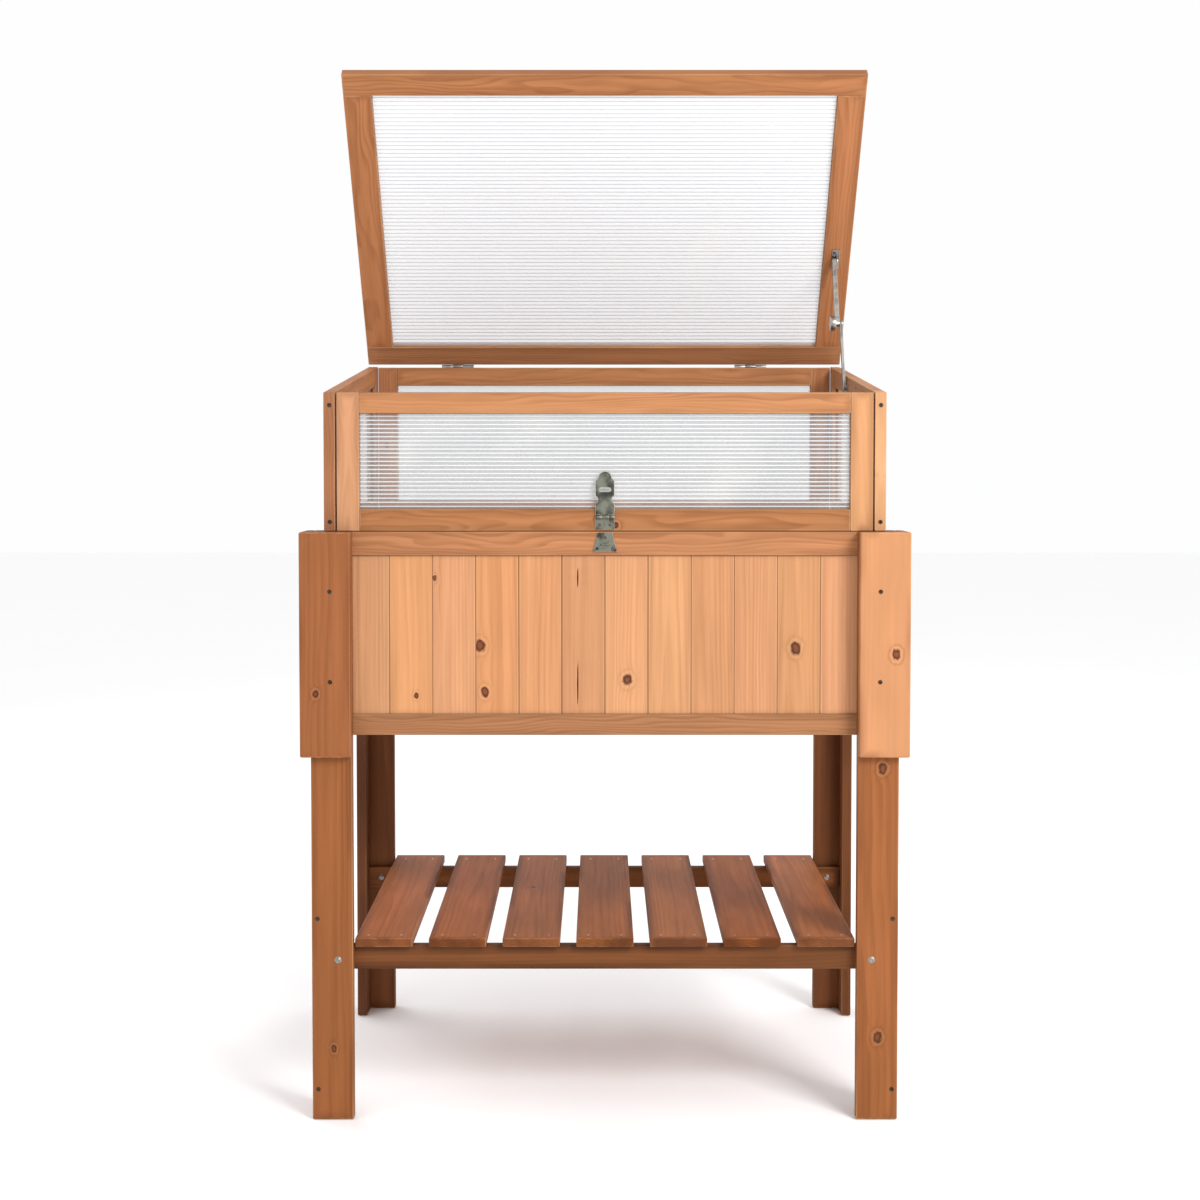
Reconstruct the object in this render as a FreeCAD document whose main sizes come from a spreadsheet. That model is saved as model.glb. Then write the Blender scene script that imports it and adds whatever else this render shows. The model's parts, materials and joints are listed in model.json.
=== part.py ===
import FreeCAD, Part
import math
import os
import re

import Sketcher

# A raised planter on four L-shaped legs, with a slatted shelf below and a glazed cold frame hinged
# on top. The cold frame's lid is drawn held open by its folding stay.
# Millimetres and degrees. +X is right, +Y is the back and +Z is up. The origin is on the ground,
# under the middle of the stand.

DIMENSIONS = {
    # stand
    "stand_height": 780,
    "leg_half_span": 387.5,
    "leg_half_depth": 255,
    "leg_board": 15,
    "leg_face_width": 54.5,
    "leg_side_width": 40,
    "cover_board": 12.5,
    "cover_height": 296,
    "cover_face_width": 67,
    "cover_side_width": 55,
    # planter box
    "box_half_span": 372.5,
    "box_half_depth": 240,
    "box_base": 510,
    "box_board": 15,
    "box_top_rail": 32,
    "box_bottom_rail": 28,
    "plank_board": 9,
    "plank_recess": 3,
    "plank_tongue": 5,
    "front_plank": 57,
    "batten": 20,
    "floor_board": 10,
    "floor_gap": 6,
    # shelf
    "shelf_rail_base": 197,
    "shelf_rail_height": 32,
    "shelf_rail_board": 15,
    "slat_board": 12,
    "slat_width": 76,
    "slat_half_span": 331,
    "slat_front": 250,
    "slat_back": 262,
    # cold frame
    "frame_gap": 0.5,
    "frame_half_span": 370.5,
    "frame_half_depth": 240,
    "frame_board": 15,
    "frame_front_height": 182.5,
    "frame_rise": 56,
    "frame_stile": 30,
    "frame_top_rail": 28,
    "frame_bottom_rail": 29,
    "stile_clearance": 2,
    "pane": 4,
    "pane_recess": 6,
    "pane_tongue": 6,
    # lid
    "lid_open": 53,
    "lid_gap": 0.25,
    "lid_length": 495,
    "lid_board": 15,
    "lid_rail": 33,
    "lid_stile": 40,
    # hinges
    "hinge_offset": 3,
    "hinge_barrel": 2.7,
    "hinge_bore": 1.35,
    "hinge_pin": 1.3,
    "hinge_leaf": 1.5,
    "hinge_width": 50,
    "hinge_knuckle": 16,
    "hinge_play": 0.2,
    "hinge_reach": 14,
    "lid_hinge_at": 230,
    "frame_hinge_at": 200,
    # hasp
    "hasp_pin_height": 19,
    "hasp_offset": 3.2,
    "hasp_barrel": 2.6,
    "hasp_width": 25,
    "hasp_knuckle": 9,
    "hasp_leaf": 1.5,
    "hasp_strap": 60,
    "hasp_waist": 18,
    "hasp_slot_at": 36,
    "hasp_slot_width": 16,
    "hasp_slot_height": 5.6,
    "staple_wire": 2.6,
    "staple_span": 10,
    "staple_reach": 11,
    # stay: near, far and root are distances in from the side panel's inner face
    "stay_foot_y": 38,
    "stay_foot_z": 979,
    "stay_head_along": 196,
    "stay_head_drop": 7.5,
    "stay_arm_width": 10,
    "stay_knuckle": 11,
    "stay_knuckle_length": 7.5,
    "stay_stud": 2.4,
    "stay_eye": 2.5,
    "stay_plate": 1.5,
    "stay_lower_near": 2.8,
    "stay_lower_far": 6.2,
    "stay_ear_near": 5,
    "stay_ear_width": 12,
    "stay_upper_near": 7,
    "stay_upper_far": 13,
    "stay_foot_reach": 11,
    "stay_foot_rise": 8,
    "stay_foot_screw": 8,
    "stay_foot_play": 0.2,
    "stay_collar": 2,
    "stay_collar_root": 0.8,
    "stay_foot_stud_root": 1.3,
    "stay_foot_stud_proud": 0.1,
    "stay_head_reach": 16,
    "stay_head_screw": 11,
    "stay_head_screw_near": 9.5,
    "stay_head_stud_root": 6,
    "stay_head_stud_proud": 0.5,
    # fasteners
    "screw_head": 3.4,
    "screw_shank": 1.9,
    "screw_sink": 2.4,
    "screw_length": 22,
    "small_head": 2.4,
    "small_rise": 0.8,
    "bolt_head": 4.6,
    "bolt_rise": 2.2,
    "bolt_shank": 2.5,
}

# Fastener places, in millimetres
COVER_SCREW_HEIGHTS = (702, 583.5)
COVER_SCREW_X = 360
LEG_SCREW_HEIGHTS = (268, 40)
SHELF_BOLT_X = 353
STAPLE_SCREWS = ((-10.5, -6), (10.5, -6), (0, 9))
LEAF_MIDDLE = "(hinge_barrel + 0.4 + hinge_reach / 2)"

# Sides of the object, as signs along X and along Y
SIDES = (("left", -1), ("right", 1))
ENDS = (("front", -1), ("rear", 1))

doc = FreeCAD.newDocument("cold_frame")
sheet = doc.addObject("Spreadsheet::Sheet", "dims")
for row, (alias, size) in enumerate(DIMENSIONS.items(), start=1):
    sheet.set(f"A{row}", alias)
    sheet.set(f"B{row}", str(size))
    sheet.setAlias(f"B{row}", alias)
doc.recompute()

nodes = {}
WORD = re.compile(r"[A-Za-z_]+")


def in_sheet(text):
    """The expression with each of the sheet's aliases written as the document refers to it."""
    return WORD.sub(lambda word: "dims." + word[0] if word[0] in DIMENSIONS else word[0], str(text))


def number(text):
    """What an expression comes to."""
    return float(sheet.evalExpression(in_sheet(text)))


def plus(*terms):
    """An expression for a sum."""
    return " + ".join(f"({term})" for term in terms)


def minus(first, *others):
    """An expression for a difference."""
    return " - ".join(f"({term})" for term in (first, *others))


def along(sign, low, high):
    """A pair of expressions, mirrored to the negative side when sign is -1."""
    return (low, high) if sign > 0 else (f"-({high})", f"-({low})")


def block(name, x, y, z):
    """A box between three (low, high) pairs of expressions."""
    box = doc.addObject("Part::Box", name)
    for side, axis, (low, high) in zip(("Length", "Width", "Height"), "xyz", (x, y, z)):
        box.setExpression(side, in_sheet(minus(high, low)))
        box.setExpression(f"Placement.Base.{axis}", in_sheet(low))
    return box


def rod(name, radius, x, y, z, direction, length):
    """A cylinder that starts at a point and runs along +X, +Y or +Z."""
    cylinder = doc.addObject("Part::Cylinder", name)
    turn = FreeCAD.Rotation(FreeCAD.Vector(0, 0, 1), FreeCAD.Vector(*direction))
    cylinder.Placement = FreeCAD.Placement(FreeCAD.Vector(), turn)
    cylinder.setExpression("Radius", in_sheet(radius))
    cylinder.setExpression("Height", in_sheet(length))
    for axis, place in zip("xyz", (x, y, z)):
        cylinder.setExpression(f"Placement.Base.{axis}", in_sheet(place))
    return cylinder


def side_prism(name, outline, x):
    """A pad along X of an outline of (y, z) expressions, between a (low, high) pair."""
    body = doc.addObject("PartDesign::Body", name)
    sketch = body.newObject("Sketcher::SketchObject", name + "_outline")
    plane = [feature for feature in body.Origin.OriginFeatures if feature.Role == "YZ_Plane"][0]
    sketch.AttachmentSupport = [(plane, "")]
    sketch.MapMode = "FlatFace"
    corners = [FreeCAD.Vector(number(y), number(z), 0) for y, z in outline]
    for start, end in zip(corners, corners[1:] + corners[:1]):
        sketch.addGeometry(Part.LineSegment(start, end))
    for index, (y, z) in enumerate(outline):
        following = (index + 1) % len(outline)
        sketch.addConstraint(Sketcher.Constraint("Coincident", index, 2, following, 1))
        for kind, place, value in (("DistanceX", y, corners[index].x), ("DistanceY", z, corners[index].y)):
            constraint = sketch.addConstraint(Sketcher.Constraint(kind, -1, 1, index, 1, value))
            sketch.setExpression(f"Constraints[{constraint}]", in_sheet(place))
    sketch.setExpression(".AttachmentOffset.Base.z", in_sheet(x[0]))
    pad = body.newObject("PartDesign::Pad", name + "_pad")
    pad.Profile = sketch
    pad.setExpression("Length", in_sheet(minus(x[1], x[0])))
    return body


def group(name, pieces):
    """Several objects as one, without joining them."""
    compound = doc.addObject("Part::Compound", name)
    compound.Links = pieces
    return compound


def join(name, pieces):
    """Several touching objects joined into one solid."""
    fusion = doc.addObject("Part::MultiFuse", name)
    fusion.Shapes = pieces
    return fusion


def cut(name, base, tool):
    """base with tool taken away."""
    result = doc.addObject("Part::Cut", name)
    result.Base = base
    result.Tool = tool
    return result


def solids(name, shapes):
    """A set of identical small solids, worked out from the sheet by the caller."""
    feature = doc.addObject("Part::Feature", name)
    feature.Shape = Part.makeCompound(shapes)
    return feature


def node(name, piece):
    """Names one sub-part, which becomes one file."""
    piece.Label = name
    nodes[name] = piece
    return piece


# ---------------------------------------------------------------- places that several parts share

FRAME_BASE = "(stand_height + frame_gap)"
HINGE_Y = "(frame_half_depth + hinge_offset)"
LID_SLOPE = "atan(frame_rise / (2 * frame_half_depth))"


def frame_top(y):
    """Height of the cold frame's sloping top edge at a depth."""
    rise = f"({y} + frame_half_depth) * frame_rise / (2 * frame_half_depth)"
    return f"({FRAME_BASE} + frame_front_height + {rise})"


LID_HINGE_Z = f"({frame_top(HINGE_Y)} + lid_gap / cos({LID_SLOPE}))"
FRAME_HINGE_Z = "(stand_height + frame_gap / 2)"
HASP_Y = "(-(frame_half_depth) - hasp_offset)"
HASP_Z = f"({FRAME_BASE} + hasp_pin_height - frame_gap)"
STAY_HEAD_Y = (f"({HINGE_Y} - stay_head_along * cos(lid_open * 1 deg)"
               f" - stay_head_drop * sin(lid_open * 1 deg))")
STAY_HEAD_Z = (f"({LID_HINGE_Z} + stay_head_along * sin(lid_open * 1 deg)"
               f" - stay_head_drop * cos(lid_open * 1 deg))")
STAY_WALL = "(frame_half_span - frame_board)"
STAY_RUN = f"({STAY_HEAD_Y} - stay_foot_y)"
STAY_CLIMB = f"({STAY_HEAD_Z} - stay_foot_z)"
STAY_ARM = f"(sqrt({STAY_RUN} ^ 2 + {STAY_CLIMB} ^ 2) / 2)"


def placed(name, piece, y, z, angle):
    """A piece drawn about a pivot at the origin, turned about X and carried to its pivot."""
    compound = group(name + "_placed", [piece])
    compound.Placement = FreeCAD.Placement(FreeCAD.Vector(), FreeCAD.Rotation(FreeCAD.Vector(1, 0, 0), 1))
    compound.setExpression("Placement.Rotation.Angle", in_sheet(angle))
    compound.setExpression("Placement.Base.y", in_sheet(y))
    compound.setExpression("Placement.Base.z", in_sheet(z))
    return compound


def on_lid(name, piece):
    """A piece drawn on the closed, level lid, with the hinge axis at the origin."""
    return node(name, placed(name, piece, HINGE_Y, LID_HINGE_Z, "-lid_open"))


# ---------------------------------------------------------------- fasteners

def turned(profile, place, direction):
    """A solid of revolution from (radius, distance along the axis) points, set in its place."""
    points = [FreeCAD.Vector(radius, 0, distance) for radius, distance in profile]
    face = Part.Face(Part.makePolygon(points + points[:1]))
    shape = face.revolve(FreeCAD.Vector(), FreeCAD.Vector(0, 0, 1), 360)
    turn = FreeCAD.Rotation(FreeCAD.Vector(0, 0, 1), FreeCAD.Vector(*direction))
    shape.Placement = FreeCAD.Placement(FreeCAD.Vector(*place), turn)
    return shape


def sunk_screw(place, direction):
    """A countersunk screw whose head is flush at place and whose shank runs along direction."""
    head = number("screw_head")
    shank = number("screw_shank")
    sink = number("screw_sink")
    length = number("screw_length")
    return turned([(0, 0), (head, 0), (shank, sink), (shank, length), (0, length)], place, direction)


def cap(place, direction):
    """A low domed screw head that stands on a face at place, rising along direction."""
    radius = number("small_head")
    rise = number("small_rise")
    profile = [(0, 0), (radius, 0), (radius, rise * 0.4), (radius * 0.6, rise), (0, rise)]
    return turned(profile, place, direction)


def bolt(place, direction, length):
    """A bolt whose domed head stands on a face at place and whose shank runs along direction."""
    head = number("bolt_head")
    rise = number("bolt_rise")
    shank = number("bolt_shank")
    crown = head * 0.6
    profile = [(0, -rise), (crown, -rise), (head, -rise * 0.4), (head, 0), (shank, 0), (shank, length),
               (0, length)]
    return turned(profile, place, direction)


def leaf_caps(centre_z, hinge_at):
    """The screw heads on one row of hinge leaves, two on each leaf."""
    rear = number("frame_half_depth + hinge_leaf")
    spread = number("hinge_width") / 3
    return [cap((sign * hinge_at + way * spread, rear, centre_z), (0, 1, 0))
            for _, sign in SIDES for _, way in SIDES]


def make_stand_screws():
    """Screws of the covers and legs, and the smaller ones of the staple and the lower hinge leaves."""
    outer_y = number("leg_half_depth + cover_board")
    outer_x = number("leg_half_span + cover_board")
    side_y = number("leg_half_depth - cover_side_width / 2")
    leg_y = number("leg_half_depth")
    leg_x = number("leg_half_span - leg_board / 2")
    screws = []
    for _, x in SIDES:
        for _, y in ENDS:
            for height in COVER_SCREW_HEIGHTS:
                screws.append(sunk_screw((x * COVER_SCREW_X, y * outer_y, height), (0, -y, 0)))
                screws.append(sunk_screw((x * outer_x, y * side_y, height), (-x, 0, 0)))
            for height in LEG_SCREW_HEIGHTS:
                screws.append(sunk_screw((x * leg_x, y * leg_y, height), (0, -y, 0)))
    staple_y = -number("box_half_depth + hasp_leaf")
    staple_z = number(f"{HASP_Z} - hasp_slot_at")
    screws += [cap((x, staple_y, staple_z + dz), (0, -1, 0)) for x, dz in STAPLE_SCREWS]
    screws += leaf_caps(number(f"{FRAME_HINGE_Z} - {LEAF_MIDDLE}"), number("frame_hinge_at"))
    return node("stand_screws", solids("stand_screws", screws))


def make_shelf_bolts():
    """Four bolts that hold the shelf rails to the legs; the front heads face forward, as do the rear."""
    height = number("shelf_rail_base + shelf_rail_height / 2")
    front = -number("leg_half_depth")
    rear = number("box_half_depth - shelf_rail_board")
    length = number("leg_board + shelf_rail_board")
    bolts = [bolt((x * SHELF_BOLT_X, y, height), (0, 1, 0), length) for _, x in SIDES for y in (front, rear)]
    return node("shelf_bolts", solids("shelf_bolts", bolts))


# ---------------------------------------------------------------- stand

def make_legs_and_covers(screws, bolts):
    """Four L-shaped legs, each a face board and a side board, inside four L-shaped corner covers."""
    fixings = group("stand_fixings", [screws, bolts])
    for end, y in ENDS:
        for side, x in SIDES:
            leg_inner = "leg_half_span - leg_face_width"
            face_back = "leg_half_depth - leg_board"
            corner = f"{end}_{side}"
            height = ("0", "stand_height")
            face = block(f"leg_face_{corner}", along(x, leg_inner, "leg_half_span"),
                         along(y, face_back, "leg_half_depth"), height)
            edge = block(f"leg_side_{corner}", along(x, "leg_half_span - leg_board", "leg_half_span"),
                         along(y, minus(face_back, "leg_side_width"), face_back), height)
            leg = group(f"leg_boards_{corner}", [face, edge])
            node(f"leg_{corner}", cut(f"leg_{corner}", leg, fixings))

            cover_x = "leg_half_span + cover_board"
            cover_y = "leg_half_depth + cover_board"
            height = ("stand_height - cover_height", "stand_height")
            face = block(f"cover_face_{corner}", along(x, minus(cover_x, "cover_face_width"), cover_x),
                         along(y, "leg_half_depth", cover_y), height)
            edge = block(f"cover_side_{corner}", along(x, "leg_half_span", cover_x),
                         along(y, "leg_half_depth - cover_side_width", "leg_half_depth"), height)
            cover = group(f"cover_boards_{corner}", [face, edge])
            node(f"corner_cover_{corner}", cut(f"corner_cover_{corner}", cover, fixings))


def make_planter():
    """Four panels of tongued planks held in grooved rails, and a slatted floor on two battens."""
    top = ("stand_height - box_top_rail", "stand_height")
    bottom = ("box_base", "box_base + box_bottom_rail")
    planks = ("box_base + box_bottom_rail - plank_tongue", "stand_height - box_top_rail + plank_tongue")
    inner = "box_half_depth - box_board"
    plank_out = "box_half_depth - plank_recess"
    plank_in = minus(plank_out, "plank_board")
    full = ("-box_half_span", "box_half_span")
    for end, sign in ENDS:
        depth = along(sign, inner, "box_half_depth")
        groove = block(f"groove_{end}", full, along(sign, plank_in, plank_out), planks)
        node(f"planter_{end}_top_rail", cut(f"planter_{end}_top_rail",
             block(f"top_board_{end}", full, depth, top), groove))
        node(f"planter_{end}_bottom_rail", cut(f"planter_{end}_bottom_rail",
             block(f"bottom_board_{end}", full, depth, bottom), groove))
        count = 12
        edges = ["-box_half_span"]
        edges += [f"front_plank * {index - count / 2}" for index in range(count + 1)]
        edges += ["box_half_span"]
        boards = [block(f"plank_{end}_{index}", pair, along(sign, plank_in, plank_out), planks)
                  for index, pair in enumerate(zip(edges, edges[1:]), start=1)]
        node(f"planter_{end}_planks", group(f"planter_{end}_planks", boards))

    side_inner = "box_half_span - box_board"
    side_out = "box_half_span - plank_recess"
    side_in = minus(side_out, "plank_board")
    run = (f"-({inner})", inner)
    for side, sign in SIDES:
        span = along(sign, side_inner, "box_half_span")
        groove = block(f"groove_{side}", along(sign, side_in, side_out), run, planks)
        node(f"planter_{side}_top_rail", cut(f"planter_{side}_top_rail",
             block(f"top_board_{side}", span, run, top), groove))
        node(f"planter_{side}_bottom_rail", cut(f"planter_{side}_bottom_rail",
             block(f"bottom_board_{side}", span, run, bottom), groove))
        count = 8
        edges = [f"({inner}) * {2 * index / count - 1}" for index in range(count + 1)]
        boards = [block(f"plank_{side}_{index}", along(sign, side_in, side_out), pair, planks)
                  for index, pair in enumerate(zip(edges, edges[1:]), start=1)]
        node(f"planter_{side}_planks", group(f"planter_{side}_planks", boards))

    battens = [block(f"batten_{end}", (f"-({side_inner})", side_inner),
                     along(sign, minus(inner, "batten"), inner), ("box_base", "box_base + batten"))
               for end, sign in ENDS]
    node("planter_floor_battens", group("planter_floor_battens", battens))
    count = 9
    boards = []
    for index in range(count):
        low = f"({side_inner}) * {2 * index / count - 1} + floor_gap / 2"
        high = f"({side_inner}) * {2 * (index + 1) / count - 1} - floor_gap / 2"
        boards.append(block(f"floor_{index + 1}", (low, high), run,
                            ("box_base + batten", "box_base + batten + floor_board")))
    node("planter_floor_boards", group("planter_floor_boards", boards))


def make_shelf(bolts):
    """Two rails bolted inside the legs, and seven slats across them."""
    rail_top = "shelf_rail_base + shelf_rail_height"
    rails = [block(f"shelf_rail_{end}", ("-box_half_span", "box_half_span"),
                   along(sign, "box_half_depth - shelf_rail_board", "box_half_depth"),
                   ("shelf_rail_base", rail_top))
             for end, sign in ENDS]
    node("shelf_rails", cut("shelf_rails", group("shelf_rail_boards", rails), bolts))
    count = 7
    slats = []
    for index in range(count):
        low = f"-slat_half_span + (2 * slat_half_span - slat_width) * {index} / {count - 1}"
        slats.append(block(f"slat_{index + 1}", (low, plus(low, "slat_width")), ("-slat_front", "slat_back"),
                           (rail_top, plus(rail_top, "slat_board"))))
    node("shelf_slats", group("shelf_slats", slats))


# ---------------------------------------------------------------- cold frame

def frame_panel(place, sign, top):
    """The front or rear panel: two stiles, two rails and a pane held in their grooves."""
    outer = "frame_half_span - frame_board - stile_clearance"
    inner = minus(outer, "frame_stile")
    depth = along(sign, "frame_half_depth - frame_board", "frame_half_depth")
    pane_out = "frame_half_depth - pane_recess"
    pane_depth = along(sign, minus(pane_out, "pane"), pane_out)
    low = plus(FRAME_BASE, "frame_bottom_rail")
    high = minus(top, "frame_top_rail")
    pane = block(f"frame_{place}_pane", (f"-({plus(inner, 'pane_tongue')})", plus(inner, "pane_tongue")),
                 pane_depth, (minus(low, "pane_tongue"), plus(high, "pane_tongue")))
    node(f"frame_{place}_pane", pane)
    between = (f"-({inner})", inner)
    stiles = [block(f"stile_{place}_{side}", along(way, inner, outer), depth, (FRAME_BASE, top))
              for side, way in SIDES]
    node(f"frame_{place}_stiles", cut(f"frame_{place}_stiles", group(f"stiles_{place}", stiles), pane))
    node(f"frame_{place}_top_rail", cut(f"frame_{place}_top_rail",
         block(f"frame_top_{place}", between, depth, (high, top)), pane))
    node(f"frame_{place}_bottom_rail", cut(f"frame_{place}_bottom_rail",
         block(f"frame_bottom_{place}", between, depth, (FRAME_BASE, low)), pane))


def make_frame_screws():
    """Screws through the edges of the side stiles into the side rails, and those of the hardware."""
    x = number("frame_half_span - frame_board / 2")
    y = number("frame_half_depth")
    low = number(f"{FRAME_BASE} + frame_bottom_rail / 2 - 3")
    screws = []
    for _, side in SIDES:
        for end, sign in ENDS:
            high = number(frame_top(sign * y)) - number("frame_top_rail") / 2 + 3 * sign
            screws += [sunk_screw((side * x, sign * y, height), (0, -sign, 0)) for height in (low, high)]
    screws += leaf_caps(number(f"{LID_HINGE_Z} - {LEAF_MIDDLE}"), number("lid_hinge_at"))
    screws += leaf_caps(number(f"{FRAME_HINGE_Z} + {LEAF_MIDDLE}"), number("frame_hinge_at"))
    hasp_y = -number("frame_half_depth + hasp_leaf")
    hasp_z = number(f"{FRAME_BASE} + 8")
    screws += [cap((sign * 7, hasp_y, hasp_z), (0, -1, 0)) for _, sign in SIDES]
    plate_x = number(f"{STAY_WALL} - stay_plate")
    foot_y = number("stay_foot_y")
    foot_z = number("stay_foot_z")
    apart = number("stay_foot_screw")
    screws += [cap((plate_x, foot_y + sign * apart, foot_z), (-1, 0, 0)) for _, sign in SIDES]
    return node("frame_screws", solids("frame_screws", screws))


def make_lid_screws():
    """Screws of the upper hinge leaves and the stay's upper bracket."""
    y = number("-hinge_offset + hinge_leaf")
    z = number("lid_gap + lid_board / 2 + 1")
    spread = number("hinge_width") / 3
    screws = [cap((sign * number("lid_hinge_at") + way * spread, y, z), (0, 1, 0))
              for _, sign in SIDES for _, way in SIDES]
    bracket_x = number(f"{STAY_WALL} - stay_head_screw_near")
    bracket_y = -number("stay_head_along")
    apart = number("stay_head_screw")
    underside = number("lid_gap - stay_plate")
    screws += [cap((bracket_x, bracket_y + sign * apart, underside), (0, 0, -1)) for _, sign in SIDES]
    on_lid("lid_screws", solids("lid_screw_heads", screws))


def frame_side(place, sign, screws):
    """A side panel: its top follows the slope, and its stiles run the full height."""
    span = along(sign, "frame_half_span - frame_board", "frame_half_span")
    pane_span = along(sign, "frame_half_span - pane_recess - pane", "frame_half_span - pane_recess")
    outer = "frame_half_depth"
    inner = "(frame_half_depth - frame_stile)"
    tongue = f"({inner} + pane_tongue)"
    low = plus(FRAME_BASE, "frame_bottom_rail")

    def under(y, drop):
        return (y, f"{frame_top(y)} - ({drop})")

    pane_low = minus(low, "pane_tongue")
    pane = side_prism(f"frame_{place}_pane",
                      [(f"-{tongue}", pane_low), (tongue, pane_low),
                       under(tongue, "frame_top_rail - pane_tongue"),
                       under(f"-{tongue}", "frame_top_rail - pane_tongue")], pane_span)
    node(f"frame_{place}_pane", pane)
    taken = group(f"frame_{place}_grooves", [pane, screws])
    front = side_prism(f"stile_front_{place}",
                       [(f"-{outer}", FRAME_BASE), (f"-{inner}", FRAME_BASE), under(f"-{inner}", 0),
                        under(f"-{outer}", 0)], span)
    rear = side_prism(f"stile_rear_{place}",
                      [(inner, FRAME_BASE), (outer, FRAME_BASE), under(outer, 0), under(inner, 0)], span)
    node(f"frame_{place}_stiles", cut(f"frame_{place}_stiles",
         group(f"side_stiles_{place}", [front, rear]), taken))
    top = side_prism(f"frame_top_{place}",
                     [under(f"-{inner}", "frame_top_rail"), under(inner, "frame_top_rail"),
                      under(inner, 0), under(f"-{inner}", 0)], span)
    node(f"frame_{place}_top_rail", cut(f"frame_{place}_top_rail", top, taken))
    bottom = block(f"frame_bottom_{place}", span, (f"-{inner}", inner), (FRAME_BASE, low))
    node(f"frame_{place}_bottom_rail", cut(f"frame_{place}_bottom_rail", bottom, taken))


def make_lid():
    """A framed pane: two full-width rails with two stiles between them."""
    thick = ("lid_gap", "lid_gap + lid_board")
    full = ("-frame_half_span", "frame_half_span")
    front = ("-lid_length", "-lid_length + lid_rail")
    rear = ("-hinge_offset - lid_rail", "-hinge_offset")
    stile_inner = "frame_half_span - lid_stile"
    pane_half = plus(stile_inner, "pane_tongue")
    pane_low = "lid_gap + (lid_board - pane) / 2"
    pane = block("lid_pane_sheet", (f"-({pane_half})", pane_half),
                 (minus(front[1], "pane_tongue"), plus(rear[0], "pane_tongue")),
                 (pane_low, plus(pane_low, "pane")))
    on_lid("lid_pane", pane)
    on_lid("lid_front_rail", cut("lid_front_cut", block("lid_front_board", full, front, thick), pane))
    on_lid("lid_rear_rail", cut("lid_rear_cut", block("lid_rear_board", full, rear, thick), pane))
    stiles = [block(f"lid_stile_{side}", along(sign, stile_inner, "frame_half_span"),
                    (front[1], rear[0]), thick) for side, sign in SIDES]
    on_lid("lid_stiles", cut("lid_stiles_cut", group("lid_stile_boards", stiles), pane))


# ---------------------------------------------------------------- hinges

def hinge_leaf(name, centre, knuckles, plate, barrel_y, barrel_z, face, reach):
    """One leaf of a butt hinge: a plate on a face, and the knuckles it carries, bored for the pin.

    plate is the (low, high) pair of expressions along Z, face the pair along Y, and reach the pair
    along Z by which the plate runs on to the barrel where it has a knuckle.
    """
    half = "hinge_width / 2"
    pieces = [block(f"{name}_plate", (minus(centre, half), plus(centre, half)), face, plate)]
    for index, (low, high) in enumerate(knuckles, start=1):
        x = (plus(centre, low), plus(centre, high))
        pieces.append(block(f"{name}_neck_{index}", x, face, reach))
        pieces.append(rod(f"{name}_knuckle_{index}", "hinge_barrel", x[0], barrel_y, barrel_z, (1, 0, 0),
                          minus(x[1], x[0])))
    bore = rod(f"{name}_bore", "hinge_bore", minus(centre, "hinge_width"), barrel_y, barrel_z, (1, 0, 0),
               "2 * hinge_width")
    return cut(f"{name}_leaf", join(f"{name}_joined", pieces), bore)


OUTER_KNUCKLES = (("-hinge_width / 2", "-hinge_knuckle / 2 - hinge_play"),
                  ("hinge_knuckle / 2 + hinge_play", "hinge_width / 2"))
MIDDLE_KNUCKLE = (("-hinge_knuckle / 2", "hinge_knuckle / 2"),)


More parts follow.
